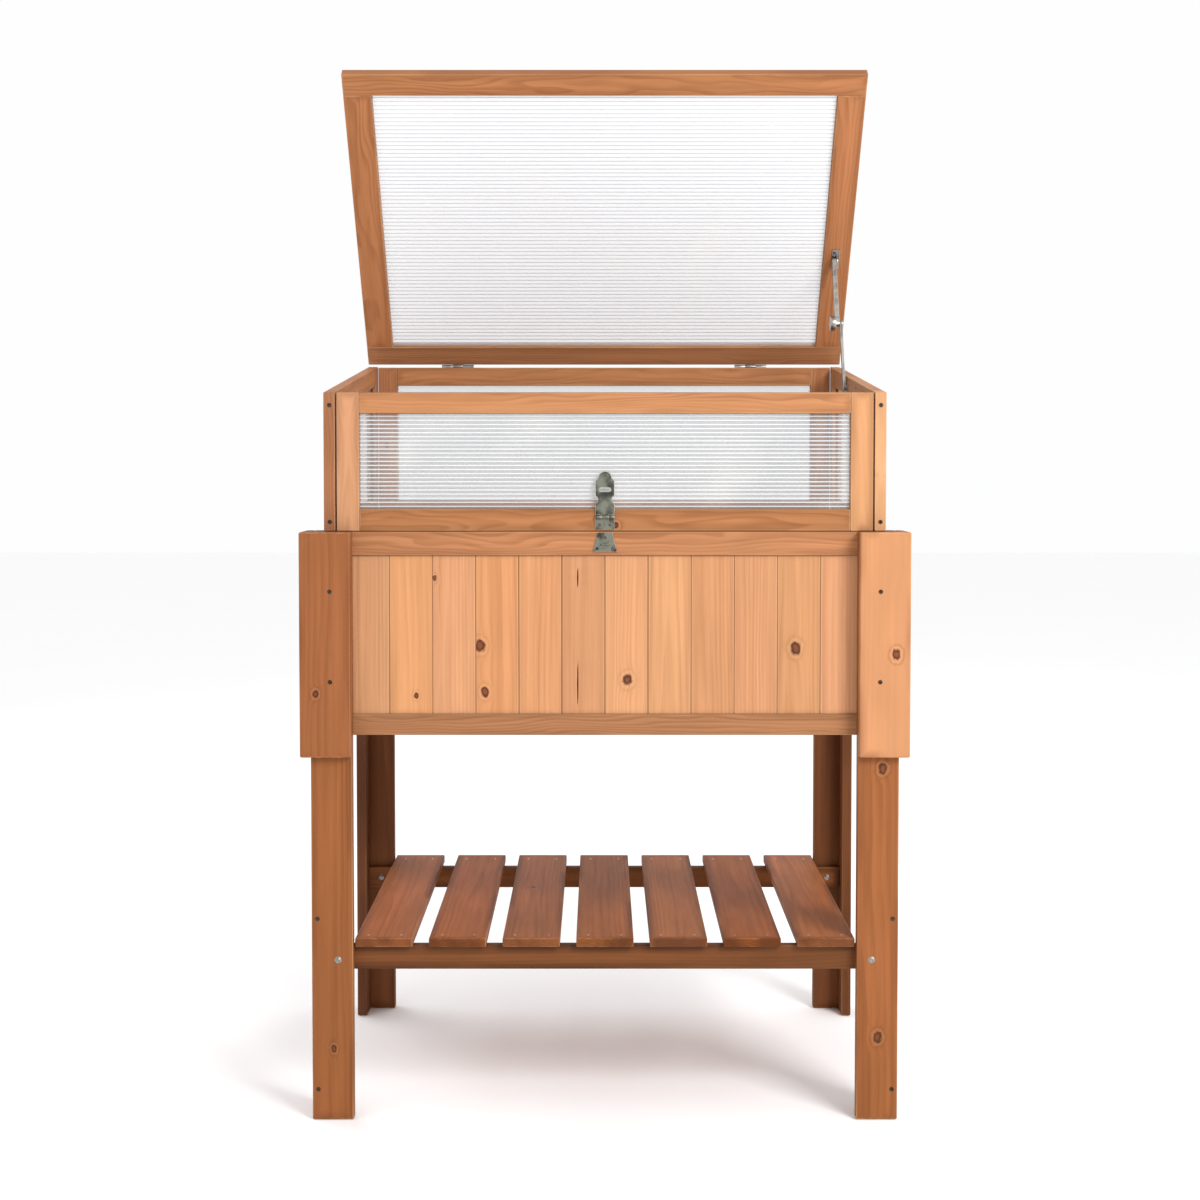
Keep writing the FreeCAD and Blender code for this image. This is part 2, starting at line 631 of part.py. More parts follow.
def make_hinges():
    """Two butt hinges for the lid and two for the cold frame, on the rear faces."""
    clear = "hinge_barrel + 0.4"
    face = ("frame_half_depth", "frame_half_depth + hinge_leaf")
    leaves = {"lid_hinge_lower_leaves": [], "lid_hinge_upper_leaves": [],
              "frame_hinge_lower_leaves": [], "frame_hinge_upper_leaves": []}
    for side, sign in SIDES:
        centre = f"{sign} * lid_hinge_at"
        leaves["lid_hinge_lower_leaves"].append(hinge_leaf(
            f"lid_lower_{side}", centre, OUTER_KNUCKLES,
            (minus(LID_HINGE_Z, clear, "hinge_reach"), minus(LID_HINGE_Z, clear)),
            HINGE_Y, LID_HINGE_Z, face, (minus(LID_HINGE_Z, clear), LID_HINGE_Z)))
        leaves["lid_hinge_upper_leaves"].append(hinge_leaf(
            f"lid_upper_{side}", centre, MIDDLE_KNUCKLE, (clear, "lid_gap + lid_board - 1"), "0", "0",
            ("-hinge_offset", "-hinge_offset + hinge_leaf"), ("0", clear)))
        centre = f"{sign} * frame_hinge_at"
        leaves["frame_hinge_lower_leaves"].append(hinge_leaf(
            f"frame_lower_{side}", centre, OUTER_KNUCKLES,
            (minus(FRAME_HINGE_Z, clear, "hinge_reach"), minus(FRAME_HINGE_Z, clear)),
            HINGE_Y, FRAME_HINGE_Z, face, (minus(FRAME_HINGE_Z, clear), FRAME_HINGE_Z)))
        leaves["frame_hinge_upper_leaves"].append(hinge_leaf(
            f"frame_upper_{side}", centre, MIDDLE_KNUCKLE,
            (plus(FRAME_HINGE_Z, clear), plus(FRAME_HINGE_Z, clear, "hinge_reach")),
            HINGE_Y, FRAME_HINGE_Z, face, (FRAME_HINGE_Z, plus(FRAME_HINGE_Z, clear))))
    for name, pair in leaves.items():
        both = group(name, pair)
        if name == "lid_hinge_upper_leaves":
            on_lid(name, both)
        else:
            node(name, both)
    pins = []
    for side, sign in SIDES:
        for kind, height in (("lid", LID_HINGE_Z), ("frame", FRAME_HINGE_Z)):
            pins.append(rod(f"{kind}_pin_{side}", "hinge_pin", f"{sign} * {kind}_hinge_at - hinge_width / 2",
                            HINGE_Y, height, (1, 0, 0), "hinge_width"))
    pins.append(rod("hasp_pin", "hinge_pin", "-hasp_width / 2", HASP_Y, HASP_Z, (1, 0, 0), "hasp_width"))
    node("hinge_pins", group("hinge_pins", pins))


# ---------------------------------------------------------------- hasp

def mirrored_outline(right_side):
    """A closed face in the XZ plane from its right side: lists of two or three (x, z) points, each a
    line or an arc, in order upwards, mirrored to the left."""
    edges = []
    for mirror in (1, -1):
        for stretch in right_side:
            points = [FreeCAD.Vector(mirror * x, 0, z) for x, z in stretch]
            edges.append(Part.makeLine(*points) if len(points) == 2 else Part.Arc(*points).toShape())
    base_x, base_z = right_side[0][0]
    edges.append(Part.makeLine(FreeCAD.Vector(-base_x, 0, base_z), FreeCAD.Vector(base_x, 0, base_z)))
    return Part.Face(Part.Wire(Part.__sortEdges__(edges)))


def make_hasp_strap():
    """The hinged strap, turned up: a waisted plate with a shouldered round tip and a slot."""
    pin_y = number(HASP_Y)
    pin_z = number(HASP_Z)
    half = number("hasp_width / 2")
    waist = number("hasp_waist / 2")
    tip = pin_z + number("hasp_strap")
    slot = pin_z + number("hasp_slot_at")
    leaf = number("hasp_leaf")
    clear = number("hasp_barrel") + 0.3
    foot = pin_z + clear
    waist_low = pin_z + 18
    waist_high = slot - 8
    shoulder = tip - 12
    crown = half * 0.72
    right_side = [
        [(half, foot), (half, waist_low)],
        [(half, waist_low), (waist, (waist_low + waist_high) / 2), (half, waist_high)],
        [(half, waist_high), (half, shoulder)],
        [(half, shoulder), (crown, shoulder + 3)],
        [(crown, shoulder + 3), (crown * 0.75, tip - 3), (0, tip)],
    ]
    plate = mirrored_outline(right_side).extrude(FreeCAD.Vector(0, leaf, 0))
    front = pin_y + number("hasp_offset - 0.5") - leaf
    plate.translate(FreeCAD.Vector(0, front, 0))
    wide = number("hasp_slot_width")
    high = number("hasp_slot_height")
    straight = wide - high
    corner = FreeCAD.Vector(-straight / 2, front - leaf, slot - high / 2)
    slot_tool = Part.makeBox(straight, 4 * leaf, high, corner)
    for x in (-straight / 2, straight / 2):
        centre = FreeCAD.Vector(x, front - leaf, slot)
        slot_tool = slot_tool.fuse(Part.makeCylinder(high / 2, 4 * leaf, centre, FreeCAD.Vector(0, 1, 0)))
    knuckle = number("hasp_knuckle")
    axis = FreeCAD.Vector(1, 0, 0)
    place = FreeCAD.Vector(-knuckle / 2, pin_y, pin_z)
    barrel = Part.makeCylinder(number("hasp_barrel"), knuckle, place, axis)
    neck = Part.makeBox(knuckle, leaf, clear, FreeCAD.Vector(-knuckle / 2, front, pin_z))
    bore = Part.makeCylinder(number("hinge_bore"), 2 * knuckle, place - axis * knuckle / 2, axis)
    strap = plate.fuse(neck).fuse(barrel).cut(bore).cut(slot_tool).removeSplitter()
    node("hasp_strap", solids("hasp_strap", strap.Solids))


def make_hasp_base():
    """The fixed leaf below the pin, with a knuckle each side of the strap's."""
    face = ("-frame_half_depth - hasp_leaf", "-frame_half_depth")
    clear = "hasp_barrel + 0.3"
    pieces = [block("hasp_plate", ("-hasp_width / 2", "hasp_width / 2"), face,
                    (plus(FRAME_BASE, 2), minus(HASP_Z, clear)))]
    for side, sign in SIDES:
        x = along(sign, "hasp_knuckle / 2 + hinge_play", "hasp_width / 2")
        pieces.append(block(f"hasp_neck_{side}", x, face, (minus(HASP_Z, clear), HASP_Z)))
        pieces.append(rod(f"hasp_barrel_{side}", "hasp_barrel", x[0], HASP_Y, HASP_Z, (1, 0, 0),
                          minus(x[1], x[0])))
    bore = rod("hasp_bore", "hinge_bore", "-hasp_width", HASP_Y, HASP_Z, (1, 0, 0), "2 * hasp_width")
    node("hasp_base_leaf", cut("hasp_base_leaf", join("hasp_base_joined", pieces), bore))


def make_hasp_staple():
    """A flared plate on the planter's top rail, with a square-shouldered loop for a padlock."""
    face_y = -number("box_half_depth")
    leaf = number("hasp_leaf")
    centre = number(f"{HASP_Z} - hasp_slot_at")
    top = number("stand_height") - 1.5
    low = centre - 10
    corners = [FreeCAD.Vector(x, face_y, z) for x, z in ((9.5, top), (16, low), (-16, low), (-9.5, top))]
    plate = Part.Face(Part.makePolygon(corners + corners[:1])).extrude(FreeCAD.Vector(0, -leaf, 0))
    wire = number("staple_wire") / 2
    half = number("staple_span") / 2
    reach = number("staple_reach") - wire
    bend = 2.4
    back = face_y - leaf / 2
    front = face_y - reach
    path = [FreeCAD.Vector(-half, back, centre), FreeCAD.Vector(-half, front + bend, centre),
            FreeCAD.Vector(-half + bend, front, centre), FreeCAD.Vector(half - bend, front, centre),
            FreeCAD.Vector(half, front + bend, centre), FreeCAD.Vector(half, back, centre)]
    inset = bend * (1 - math.sqrt(0.5))
    edges = [Part.makeLine(path[0], path[1]),
             Part.Arc(path[1], FreeCAD.Vector(-half + inset, front + inset, centre), path[2]).toShape(),
             Part.makeLine(path[2], path[3]),
             Part.Arc(path[3], FreeCAD.Vector(half - inset, front + inset, centre), path[4]).toShape(),
             Part.makeLine(path[4], path[5])]
    section = Part.Wire(Part.makeCircle(wire, path[0], FreeCAD.Vector(0, 1, 0)))
    loop = Part.Wire(edges).makePipeShell([section], True, False)
    staple = plate.fuse(loop).removeSplitter()
    node("hasp_staple", solids("hasp_staple", staple.Solids))


# ---------------------------------------------------------------- stay

def stay_layer(near, far):
    """A layer of the stay along X, from its two distances in from the side panel's inner face."""
    return (f"{STAY_WALL} - ({far})", f"{STAY_WALL} - ({near})")


def stay_rod(name, radius, layer, y, z):
    """A round piece of the stay, through a layer."""
    return rod(name, radius, layer[0], y, z, (1, 0, 0), minus(layer[1], layer[0]))


def stay_arm(name, layer, rivet_radius, rivet):
    """A flat arm up +Z from its pivot eye at the origin to its half of the middle rivet."""
    half = "stay_arm_width / 2"
    pieces = [block(f"{name}_strap", layer, (f"-({half})", half), ("0", STAY_ARM)),
              stay_rod(f"{name}_foot", half, layer, "0", "0"),
              stay_rod(f"{name}_tip", half, layer, "0", STAY_ARM),
              stay_rod(f"{name}_rivet", rivet_radius, rivet, "0", STAY_ARM)]
    eye = stay_rod(f"{name}_eye", "stay_eye", (minus(layer[0], 1), plus(layer[1], 1)), "0", "0")
    return cut(f"{name}_cut", join(f"{name}_joined", pieces), eye)


def make_stay_arms():
    """The two equal arms: the lower one by the side panel, the upper one further in."""
    lower = stay_layer("stay_lower_near", "stay_lower_far")
    upper = stay_layer("stay_upper_near", "stay_upper_far")
    rivet = stay_layer("stay_plate", "stay_lower_near")
    knuckle = stay_layer("stay_upper_far", "stay_upper_far + stay_knuckle_length")
    lean = f"atan2({STAY_RUN}; {STAY_CLIMB})"
    arm = stay_arm("stay_lower", lower, "stay_arm_width / 2 - 1", rivet)
    node("stay_lower_arm", placed("stay_lower_arm", arm, "stay_foot_y", "stay_foot_z", f"-{lean}"))
    arm = stay_arm("stay_upper", upper, "stay_knuckle", knuckle)
    node("stay_upper_arm", placed("stay_upper_arm", arm, STAY_HEAD_Y, STAY_HEAD_Z, f"180 deg - {lean}"))


def make_stay_foot():
    """The lower bracket: a plate on the side panel, with a collared stud for the lower arm."""
    y, z = "stay_foot_y", "stay_foot_z"
    plate = block("stay_foot_plate", stay_layer(0, "stay_plate"),
                  (f"{y} - stay_foot_reach", f"{y} + stay_foot_reach"),
                  (f"{z} - stay_foot_rise", f"{z} + stay_foot_rise"))
    collar = stay_layer("stay_collar_root", "stay_lower_near - stay_foot_play")
    shank = stay_layer("stay_foot_stud_root", "stay_lower_far + stay_foot_stud_proud")
    pieces = [plate, stay_rod("stay_foot_boss", "stay_stud + stay_collar", collar, y, z),
              stay_rod("stay_foot_stud", "stay_stud", shank, y, z)]
    node("stay_lower_bracket", join("stay_lower_bracket", pieces))


def make_stay_head():
    """The upper bracket: a plate under the lid's right stile, with an ear and a stud for the upper arm."""
    y, z = "-stay_head_along", "-stay_head_drop"
    ear = stay_layer("stay_ear_near", "stay_ear_near + stay_plate")
    shank = stay_layer("stay_head_stud_root", "stay_upper_far + stay_head_stud_proud")
    half = "stay_ear_width / 2"
    pieces = [block("stay_head_plate", stay_layer("stay_plate", "stay_upper_far"),
                    (f"{y} - stay_head_reach", f"{y} + stay_head_reach"),
                    ("lid_gap - stay_plate", "lid_gap")),
              block("stay_head_ear", ear, (f"{y} - {half}", f"{y} + {half}"), (z, "lid_gap - stay_plate")),
              stay_rod("stay_head_round", half, ear, y, z),
              stay_rod("stay_head_stud", "stay_stud", shank, y, z)]
    on_lid("stay_upper_bracket", join("stay_upper_bracket_joined", pieces))


# ---------------------------------------------------------------- the whole object

screws = make_stand_screws()
bolts = make_shelf_bolts()
make_legs_and_covers(screws, bolts)
make_planter()
make_shelf(bolts)
frame_panel("front", -1, frame_top("-frame_half_depth"))
frame_panel("rear", 1, frame_top("(frame_half_depth - frame_board)"))
side_screws = make_frame_screws()
for side_name, side_sign in SIDES:
    frame_side(side_name, side_sign, side_screws)
make_lid()
make_hinges()
make_hasp_strap()
make_hasp_base()
make_hasp_staple()
make_stay_arms()
make_stay_foot()
make_stay_head()
make_lid_screws()
doc.recompute()

for thing in doc.Objects:
    if "Invalid" in thing.State or "Error" in thing.State:
        raise SystemExit(f"{thing.Label} did not recompute: {thing.State}")
os.makedirs("parts", exist_ok=True)
for name, thing in nodes.items():
    shape = thing.Shape
    if shape.isNull() or not shape.isValid() or not shape.Solids:
        raise SystemExit(f"{name} has no valid solid")
    shape.exportStep(f"parts/{name}.step")
print(len(nodes), "parts")
print("stay arm", round(number(STAY_ARM), 3))
print("stay head", round(number(STAY_HEAD_Y), 3), round(number(STAY_HEAD_Z), 3))
print("lid hinge", round(number(HINGE_Y), 3), round(number(LID_HINGE_Z), 3), round(number(LID_SLOPE), 4))
print("hasp pin", round(number(HASP_Y), 3), round(number(HASP_Z), 3))
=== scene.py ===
import json
import math
import random

import bmesh
import bpy
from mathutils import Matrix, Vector


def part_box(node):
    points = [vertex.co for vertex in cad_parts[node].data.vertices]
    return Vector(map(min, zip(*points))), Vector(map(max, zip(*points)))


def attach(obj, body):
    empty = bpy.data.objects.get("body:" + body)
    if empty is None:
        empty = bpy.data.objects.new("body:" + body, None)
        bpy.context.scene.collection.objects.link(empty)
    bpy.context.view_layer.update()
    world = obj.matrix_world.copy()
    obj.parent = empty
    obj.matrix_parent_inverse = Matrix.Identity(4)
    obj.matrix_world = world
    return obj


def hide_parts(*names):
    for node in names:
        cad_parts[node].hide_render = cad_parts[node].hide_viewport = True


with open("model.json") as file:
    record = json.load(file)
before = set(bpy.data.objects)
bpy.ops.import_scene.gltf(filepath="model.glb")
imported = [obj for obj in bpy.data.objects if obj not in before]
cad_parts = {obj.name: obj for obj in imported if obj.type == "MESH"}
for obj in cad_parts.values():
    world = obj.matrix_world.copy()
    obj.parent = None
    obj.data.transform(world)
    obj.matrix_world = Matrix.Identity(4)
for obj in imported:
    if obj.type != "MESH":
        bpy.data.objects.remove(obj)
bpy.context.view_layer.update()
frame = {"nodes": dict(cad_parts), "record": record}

# A raised planter with a glazed cold frame on top. Each wooden, glazed and screw node is replaced
# by pieces made from its own solids: boards with eased edges, fluted sheets and cross-head screws.
# Hinges, hasp and stay keep their CAD shapes, with rounded edges and worn metal.

MM = 0.001
NODES = frame["nodes"]
BODIES = frame["record"]["behaviour"]["bodies"]
BODY_OF = {node: body for body, members in BODIES.items() for node in members}
SLOT_OF = {name: node.material_slots[0].name for name, node in NODES.items()}
CHANCE = random.Random(7)

# Places closer than this, in m, count as one, and cuts snap to points within the second length.
SAME, SNAP = 1e-5, 1e-6


# Wood: its looks

# Colours of the light early wood, the dark late wood and the paler wood at worn edges. Spacing of
# the growth rings and how far they wander, in m, how many times they wander in a metre, how
# strongly they show, how uneven the stain is, and how much darker the board is along its edges.
WOODS = {
    "leg_wood": {
        "early": (0.345, 0.116, 0.039), "late": (0.200, 0.058, 0.016), "bare": (0.55, 0.280, 0.130),
        "spacing": 0.0044, "wander": 0.012, "waves": 2.6, "contrast": 0.40, "mottle": 0.50,
        "edge_darkness": 0.45},
    "frame_wood": {
        "early": (0.450, 0.192, 0.083), "late": (0.258, 0.096, 0.035), "bare": (0.60, 0.330, 0.165),
        "spacing": 0.0028, "wander": 0.026, "waves": 4.0, "contrast": 0.46, "mottle": 0.45,
        "edge_darkness": 0.40},
    "planks": {
        "early": (0.585, 0.288, 0.134), "late": (0.375, 0.162, 0.068), "bare": (0.66, 0.370, 0.195),
        "spacing": 0.0040, "wander": 0.012, "waves": 1.8, "contrast": 0.30, "mottle": 0.32,
        "edge_darkness": 0.20},
    "shelf_wood": {
        "early": (0.355, 0.110, 0.026), "late": (0.205, 0.056, 0.012), "bare": (0.46, 0.220, 0.100),
        "spacing": 0.0042, "wander": 0.013, "waves": 2.6, "contrast": 0.40, "mottle": 0.90,
        "edge_darkness": 0.85},
    "floor_wood": {
        "early": (0.420, 0.230, 0.105), "late": (0.290, 0.145, 0.060), "bare": (0.52, 0.310, 0.160),
        "spacing": 0.0050, "wander": 0.009, "waves": 2.2, "contrast": 0.45, "mottle": 0.40,
        "edge_darkness": 0.30},
}
# Boards that differ from their finish: brightness, how far the stain has faded, and how much
# painted shade darkens their joints. The rear legs and shelf rails are darkened as painted shade;
# the right-hand cover and stiles are brightened and paled as painted light.
TONES = {
    # Painted light: the right-hand cover is brighter and paler, as on the side the light falls on.
    "corner_cover_front_right": (1.06, 0.60, 0.0),
    "corner_cover_front_left": (1.0, 0.05, 0.0),
    "leg_front_left": (0.92, 0.0, 0.0),
    # Painted shade: the rear legs and the shelf rails are darkened where they stand in shade under
    # the planter.
    "leg_rear_left": (0.52, 0.0, 0.0),
    "leg_rear_right": (0.52, 0.0, 0.0),
    "shelf_rails": (0.54, 0.0, 0.0),
    "planter_front_bottom_rail": (0.88, 0.0, 0.5),
    "planter_front_top_rail": (1.02, 0.0, 0.8),
    "frame_front_bottom_rail": (0.96, 0.0, 0.9),
    "frame_front_top_rail": (1.06, 0.08, 0.5),
    "frame_front_stiles": (1.04, 0.38, 0.4),
    # Painted light: the right-hand stiles are brighter and paler, as on the side the light falls
    # on.
    "frame_right_stiles": (1.26, 0.60, 0.0),
    "lid_front_rail": (1.04, 0.05, 0.3),
}
# Painted shade in the joints between the planks.
JOINT_SHADES = {"planks": 0.8}
# How the boards of one node differ: range of brightness, most extra fading, least share of joint
# shade.
BRIGHTNESS_RANGE, MOST_FADE, LEAST_JOINT_SHADE = (0.89, 1.08), 0.08, 0.25

# Where a board was cut from its log. Each takes its noise from elsewhere along a long log, and
# the pith is up to this far to either side of the board and from near to near + spread behind it.
LOG_LENGTH, PITH_ASIDE, PITH_NEAR, PITH_SPREAD = 9.0, 0.035, 0.018, 0.05
# How the rings drift along a board, how far a knot pushes them, and where dark late wood starts
# and ends within a ring, as shares of its width.
RING_DRIFT, KNOT_PUSH = 0.006, 0.005
LATE_RISE, LATE_FALL = (0.25, 0.85), (0.9, 1.0)
# How much streaks and fibres darken the wood, and what evens this out again.
STREAK_SHARE, FIBRE_SHARE, BASE_SHARE, CONTRAST_SHARE = 0.85, 0.44, 0.20, 0.25
# Distances from a board's edge over which things fade, in m.
WEAR_REACH, EDGE_DARK_REACH = (0.0003, 0.0024), (0.0, 0.014)
JOINT_SHADOW_REACH, SPLIT_SHADOW_REACH, END_REACH = (0.0003, 0.0012), (0.0007, 0.0014), (0.0001, 0.0006)
WEAR_SHARE, END_SHADE, SPLIT_SHADOW_LEAST_JOINT = 0.8, 0.72, 0.1
# Darker edges, and painted shade in joints and splits, are late wood at a share of its strength.
EDGE_DARK_SHARE, JOINT_SHADOW_SHARE, SPLIT_SHADOW_SHARE = 0.5, 0.3, 0.2
# Noise in a board: waves in a metre along the grain and across it, and detail.
PATCH, STREAK, FIBRE = (1.6, 50, 1.0), (3.0, 130, 3.0), (16, 800, 2.0)
BLOTCH, RAGGED = (5, 16, 3.0), (130, 190, 2.0)
WOBBLE_ACROSS, WOBBLE_DETAIL = 20, 2.0
# A knot is longer along the grain than across it, and its outline is uneven. At these distances
# from its middle, in its radii, its rim starts, its core ends, and a pale halo and a dark contour
# pass into the wood. The rings bend round it, and the wood there is a little darker.
KNOT_STRETCH, KNOT_RAGGED, KNOT_TINT = 1.3, 1.1, 0.4
RIM_RISE, CORE_FALL, HALO_FALL = (0.25, 0.8), (0.75, 1.3), (1.3, 1.9)
CONTOUR_RISE, CONTOUR_FALL = (1.5, 1.8), (1.8, 2.3)
HALO_SHARE, CONTOUR_SHARE, PUSH_FALL = 0.18, 0.3, -0.3
KNOT_MIDDLE, KNOT_RIM = (0.170, 0.052, 0.020), (0.070, 0.021, 0.009)
# Small differences of colour from board to board.
HUE_SPREAD, LEAST_SATURATION, SATURATION_SPREAD = 0.005, 0.98, 0.05


# Wood: its shapes

# How far each kind of board has its edges eased, in mm. The corner covers are chamfered more.
EASE = {"leg_wood": 1.4, "frame_wood": 1.1, "planks": 1.5, "shelf_wood": 1.6, "floor_wood": 1.2}
COVER_EASE = 2.4
# The easing is at most this share of a board's thickness, and shorter edges stay sharp.
MOST_EASE, SHORTEST_EASED = 0.3, 6 * MM
# Knots on the front: x, z and radius, in mm.
KNOTS = {
    "planter_front_planks": [(-165, 628, 6.2), (-159, 567, 5.4), (30, 583, 6.0), (252, 625, 6.4),
                             (-250, 562, 3), (-225, 718, 2.8)],
    "corner_cover_front_right": [(381, 620, 5.4)],
    "corner_cover_front_left": [(-379, 568, 4)],
    "leg_front_right": [(366, 468, 5.6), (361, 110, 5.6)],
}
# Knots on the other boards: how often, their radii, their margin from the long edges and how far
# from the middle of the length they may be.
KNOT_CHANCE, KNOT_RADII, KNOT_MARGIN, KNOT_SPREAD = 0.3, (2.5, 5), 5 * MM, 0.8
NO_KNOT = (9, 9, 0.001)
# Splits in the front planks: x, lowest and highest z, in mm, then how wide and deep they are, how
# far they keep from a plank's edges, and where along half their length they are cut across.
SPLITS = [(-36, 546, 609), (-36, 704, 733)]
SPLIT_HALF_WIDTH, SPLIT_DEPTH, SPLIT_MARGIN = 1.1, 3.4, 3
SPLIT_STATIONS = (-1, -0.6, 0, 0.6, 1)


# Glazing, metal and screws

# Twin-wall sheets: pitch of the ribs, how opaque the sheet is between the ribs and on them, and
# the colours of its walls and of the webs behind the ribs.
SHEETS = {
    "lid": {"pitch": 6.3 * MM, "film": 0.40, "ribbed": 0.82,
            "wall": (0.88, 0.885, 0.895), "web": (0.50, 0.52, 0.55)},
    # Painted shade: all sheets but the lid have dark grey walls, standing in for the shaded inside
    # seen through them.
    "sides": {"pitch": 5.4 * MM, "film": 0.30, "ribbed": 0.80,
              "wall": (0.36, 0.37, 0.37), "web": (0.68, 0.69, 0.70)},
}
# The ribs show on one face only, so that the two rows can't fall out of step. The other face has
# this share of the film.
PLAIN_FACE = 0.3
RIB_EDGE = (0.04, 0.22)
DUST_GRAIN, SCUFF_GRAIN = (9, 9, 3.0), (14, 500, 2.0)
DUST_COLOUR, MOST_DUST, DUST_FILM = (0.83, 0.81, 0.74), 0.3, 0.08
# The groove over each rib: its half width as a share of the pitch, and its depth.
GROOVE_HALF_WIDTH, GROOVE_DEPTH = 0.16, 0.22 * MM

# Metals: base colour, dull patches, worn edges, and roughness.
METALS = {
    "aged_metal": ((0.200, 0.205, 0.165), (0.045, 0.045, 0.036), (0.85, 0.84, 0.78), 0.32),
    "stay_metal": ((0.36, 0.34, 0.31), (0.17, 0.16, 0.14), (0.78, 0.76, 0.72), 0.16),
    # Painted shade: the sunk screws are near black, so each reads as the shaded hole it sits in.
    "dark_screw": ((0.075, 0.064, 0.054), (0.034, 0.029, 0.025), (0.32, 0.29, 0.25), 0.46),
    "zinc_steel": ((0.34, 0.32, 0.30), (0.15, 0.14, 0.13), (0.80, 0.79, 0.76), 0.22),
}
METAL_PATCH, SCRATCHES, SCRATCH_DETAIL = (55, 55, 4.0), (1800, 260, 1800), 2.0
METAL_ROUNDING, SHADED_ROUNDING = 0.25 * MM, 0.7 * MM

# A screw's head: sides, radii of its rings of points, the sharpness of its dome, and how deep the
# cross recess is as a share of the radius when sunk or of the rise when domed.
HEAD_SIDES = 40
HEAD_BANDS = (0.12, 0.22, 0.34, 0.46, 0.58, 0.72, 0.86, 1.0)
DOME, SUNK_RECESS, DOMED_RECESS = 2.4, 0.55, 0.8
# Its cross recess: half the width and the length of an arm, as shares of the radius.
CROSS_WIDTH, CROSS_LENGTH = 0.15, 0.5
# Its shank: thread pitch, where the thread starts, and its root and tip as shares of the shank.
THREAD_PITCH, THREAD_START, THREAD_ROOT, SCREW_TIP = 1.6 * MM, -3 * MM, 0.78, 0.2
CONE_DEPTH, SHANK_START, CAP_BACK = 0.6, 0.05 * MM, 0.02 * MM
# Sizes that tell the kinds apart, then the shanks, how far a flush screw is sunk (in mm), how
# much smaller than its hole it is, and how much shorter than its solid.
LEAST_BOLT, MOST_CAP = MM, 3 * MM
BOLT_SHANK, SCREW_SHANK = 2.5 * MM, 1.9 * MM
SCREW_SINK, SCREW_FIT, SCREW_SHORT = 1.1, 0.97, 2 * MM
# Nails in the shelf: from a slat's middle, how far one strays, radius, and the rise of its head.
NAIL_ASIDE, NAIL_STRAY, NAIL_RADIUS, NAIL_RISE = 22 * MM, MM, 1.7 * MM, 0.3 * MM


# Stage

FLOOR_HALF, FLOOR_COLOURS = 14, ((0.95, 0.95, 0.95), (0.97, 0.97, 0.97))
WORLD_COLOUR, WORLD_STRENGTH = (0.99, 0.99, 1.0, 1), 1.0
LENS, SENSOR, CAMERA_SHIFT = 55.5, 36, -0.0602
CAMERA_PLACE, CAMERA_DIP = (-0.0065, -2.677, 0.8805), 2.25
# Lights: where they are, what they point at, their size in m and their power in W.
LIGHTS = {
    "key": ((1.7, -2.4, 2.3), (0, 0, 0.7), 1.2, 85),
    "rim": ((-2.2, 1.6, 2.4), (0, 0, 0.8), 2.0, 25),
}


# Shader graphs

class Graph:
    """A material whose nodes are made by short calls, each giving back the new node's output."""

    def __init__(self, name):
        self.material = bpy.data.materials.new(name)
        self.material.use_nodes = True
        self.tree = self.material.node_tree
        self.tree.nodes.clear()

    def make(self, kind, inputs=None, output=0, **settings):
        node = self.tree.nodes.new("ShaderNode" + kind)
        for name, value in settings.items():
            setattr(node, name, value)
        for key, value in (inputs or {}).items():
            if isinstance(value, bpy.types.NodeSocket):
                self.tree.links.new(value, node.inputs[key])
            else:
                node.inputs[key].default_value = value
        return node.outputs[output]

    def math(self, operation, *values, clamp=False):
        return self.make("Math", dict(enumerate(values)), operation=operation, use_clamp=clamp)

    def attribute(self, name):
        return self.make("Attribute", output="Vector", attribute_name=name)

    def split(self, vector):
        node = self.make("SeparateXYZ", {0: vector}).node
        return [node.outputs[axis] for axis in range(3)]

    def length(self, first, second):
        """The length of a pair of values at right angles."""
        squares = [self.math("POWER", value, 2.0) for value in (first, second)]
        return self.math("SQRT", self.math("ADD", *squares))

    def stretch(self, vector, factors):
        return self.make("VectorMath", {0: vector, 1: factors}, operation="MULTIPLY")

    def noise(self, vector, scale=1.0, detail=3.0):
        inputs = {"Vector": vector, "Scale": scale, "Detail": detail}
        return self.make("TexNoise", inputs, output=0)

    def grain(self, place, along, across, detail=3.0):
        """Noise of this many waves in a metre along the grain and across it."""
        return self.noise(self.stretch(place, (along, across, across)), detail=detail)

    def smooth(self, value, low, high, start=0.0, end=1.0):
        inputs = {0: value, 1: low, 2: high, 3: start, 4: end}
        return self.make("MapRange", inputs, interpolation_type="SMOOTHSTEP")

    def mix(self, factor, *colours):
        first, second = (colour if isinstance(colour, bpy.types.NodeSocket) else (*colour, 1)
                         for colour in colours)
        inputs = {0: factor, 6: first, 7: second}
        return self.make("Mix", inputs, output=2, data_type="RGBA")

    def bump(self, height, strength, distance):
        inputs = {"Strength": strength, "Distance": distance, "Height": height}
        return self.make("Bump", inputs)

    def surface(self, **inputs):
        sockets = {name.replace("_", " "): value for name, value in inputs.items()}
        shader = self.make("BsdfPrincipled", sockets)
        output = self.tree.nodes.new("ShaderNodeOutputMaterial")
        self.tree.links.new(shader, output.inputs["Surface"])
        return self.material


def shaded(colour, share):
    """A colour at a share of its strength."""
    return [part * share for part in colour]


def knot_gap_of(g, u, v):
    """Distance to the nearer of a board's two knots, in that knot's radii."""
    distances = []
    for knot in ("knot_a", "knot_b"):
        knot_u, knot_v, radius = g.split(g.attribute(knot))
        long_radius = g.math("MULTIPLY", radius, KNOT_STRETCH)
        long_way = g.math("DIVIDE", g.math("SUBTRACT", u, knot_u), long_radius)
        short_way = g.math("DIVIDE", g.math("SUBTRACT", v, knot_v), radius)
        distances.append(g.length(long_way, short_way))
    return g.math("MINIMUM", *distances)


